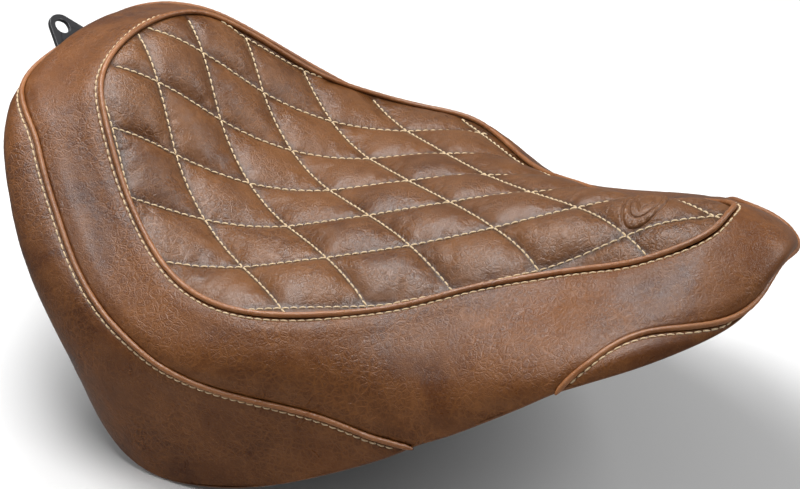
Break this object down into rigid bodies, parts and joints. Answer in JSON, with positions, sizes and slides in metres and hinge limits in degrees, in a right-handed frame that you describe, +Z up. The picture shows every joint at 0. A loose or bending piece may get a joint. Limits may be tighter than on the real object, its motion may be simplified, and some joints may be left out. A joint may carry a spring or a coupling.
{
  "type": "motorcycle solo seat",
  "caption": "Solo motorcycle saddle with a diamond-quilted dish, a rolled side band, piped skirts, a saddle-shaped base pan and an adjustable bolt-down bracket behind the tail.",
  "frame": {"origin": "centre of the rear bracket's bolt hole, with the bracket in the middle of its travel", "axes": "+X forward along the motorcycle to the seat's nose, +Y to the rider's left, +Z up; the seat is in its mounted attitude"},
  "size_m": [0.5198, 0.35, 0.2112],
  "materials": {
    "quilted_leather": "soft semi-gloss, pull-up brown, diamond quilted",
    "smooth_leather": "soft semi-gloss, pull-up brown",
    "welt_leather": "semi-gloss caramel piping",
    "sewing_foam": "open-cell foam",
    "moulded_foam": "moulded foam skin",
    "black_plastic": "fine moulded texture",
    "black_vinyl": "matt vinyl strip",
    "grey_carpet": "short needled pile",
    "black_steel": "satin powder coat",
    "zinc_steel": "zinc plated",
    "black_rubber": "matt rubber"
  },
  "bodies": {
    "seat": {"quilt_cover": "quilted_leather", "side_band": "smooth_leather", "rear_skirt": "smooth_leather", "nose_skirt": "smooth_leather", "insert_welt": "welt_leather", "rear_welt": "welt_leather", "nose_welt": "welt_leather", "quilt_foam": "sewing_foam", "foam_bun": "moulded_foam", "base_pan": "black_plastic", "hem_strip": "black_vinyl", "hem_staples": "zinc_steel", "channel_carpet": "grey_carpet", "bracket_bolts": "zinc_steel", "bracket_washers": "zinc_steel", "bracket_nuts": "zinc_steel", "bracket_backing_plate": "zinc_steel", "front_tongue": "black_steel", "tongue_rivets": "zinc_steel", "tongue_backing_plate": "zinc_steel", "front_bumpers": "black_rubber", "rear_bumpers": "black_rubber", "bumper_screws": "zinc_steel"},
    "rear_bracket": {"rear_bracket": "black_steel"}
  },
  "joints": [
    {"name": "bracket_slide", "type": "slide", "parent": "seat", "child": "rear_bracket", "axis": [-0.7431, 0, 0.6691], "range_m": [-0.006, 0.006]}
  ]
}
